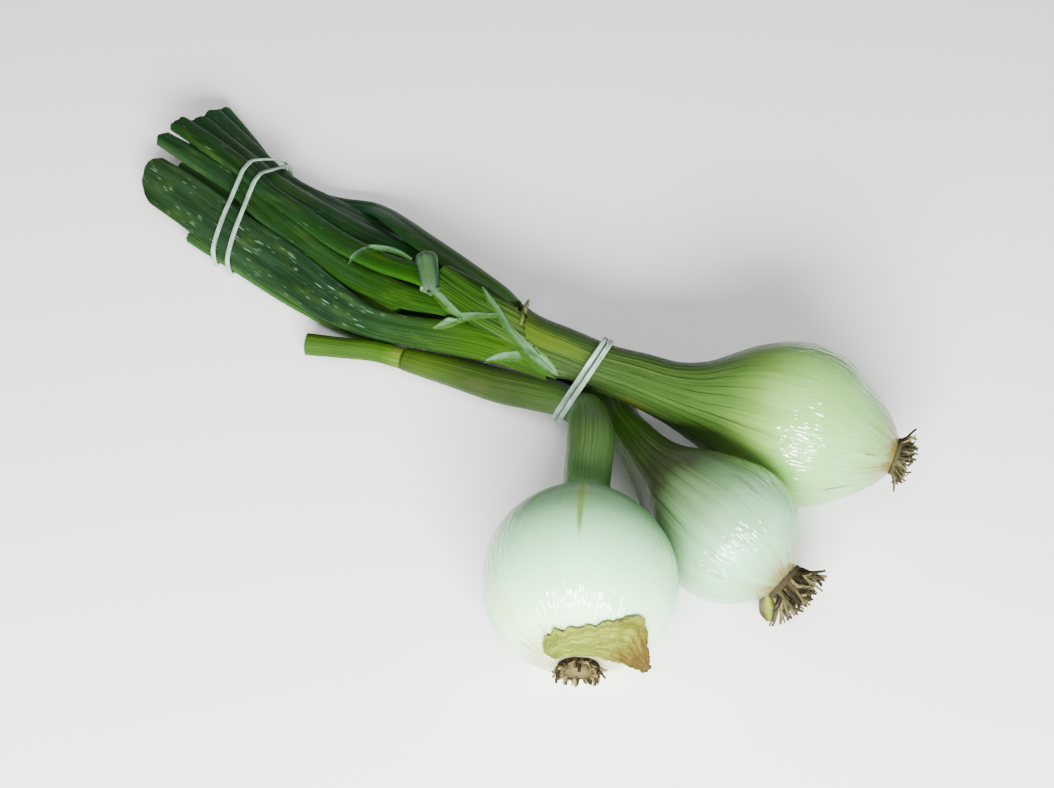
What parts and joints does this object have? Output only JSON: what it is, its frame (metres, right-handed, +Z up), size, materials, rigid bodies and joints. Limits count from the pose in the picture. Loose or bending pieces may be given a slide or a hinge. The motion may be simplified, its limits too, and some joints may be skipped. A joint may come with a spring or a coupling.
{
  "type": "spring onion bunch",
  "caption": "Bunch of large white-bulbed spring onions lying down, with roots, striped green necks and trimmed dark leaves, held by rubber bands.",
  "frame": {"origin": "centre of the lying bunch's bounding box, on the surface that it lies on", "axes": "+Z up from that surface; the leaves run towards -X and +Y, the front bulb lies towards -Y and the back bulb towards +X"},
  "size_m": [0.281, 0.3059, 0.0588],
  "materials": {
    "bulb_white": "smooth, waxy, half glossy onion skin",
    "leaf_green": "waxy dark green leaf, matt to half glossy",
    "sheath_green": "pale green striped leaf sheath",
    "stalk_green": "yellow-green leaf stalk, half glossy",
    "dry_skin": "papery dried outer skin",
    "root_brown": "dry cut roots, matt",
    "band_rubber": "pale grey rubber, matt"
  },
  "bodies": {
    "root": {"onion_back": "bulb_white", "onion_middle": "bulb_white", "onion_front": "bulb_white", "stalk_front": "stalk_green", "sheath_upper": "sheath_green", "roots_back": "root_brown", "roots_middle": "root_brown", "roots_front": "root_brown", "dry_skin_front": "dry_skin", "band_necks": "band_rubber", "band_leaves": "band_rubber", "leaf_wide": "leaf_green", "leaf_bright": "leaf_green", "leaf_inner": "leaf_green", "leaf_dark": "leaf_green", "leaf_shaded": "leaf_green", "leaf_ridge": "leaf_green", "leaf_tucked": "leaf_green", "leaf_low": "leaf_green", "leaf_under_near": "leaf_green", "leaf_under_middle": "leaf_green", "leaf_under_far": "leaf_green", "leaf_core": "leaf_green", "leaf_heart": "leaf_green"}
  },
  "joints": []
}
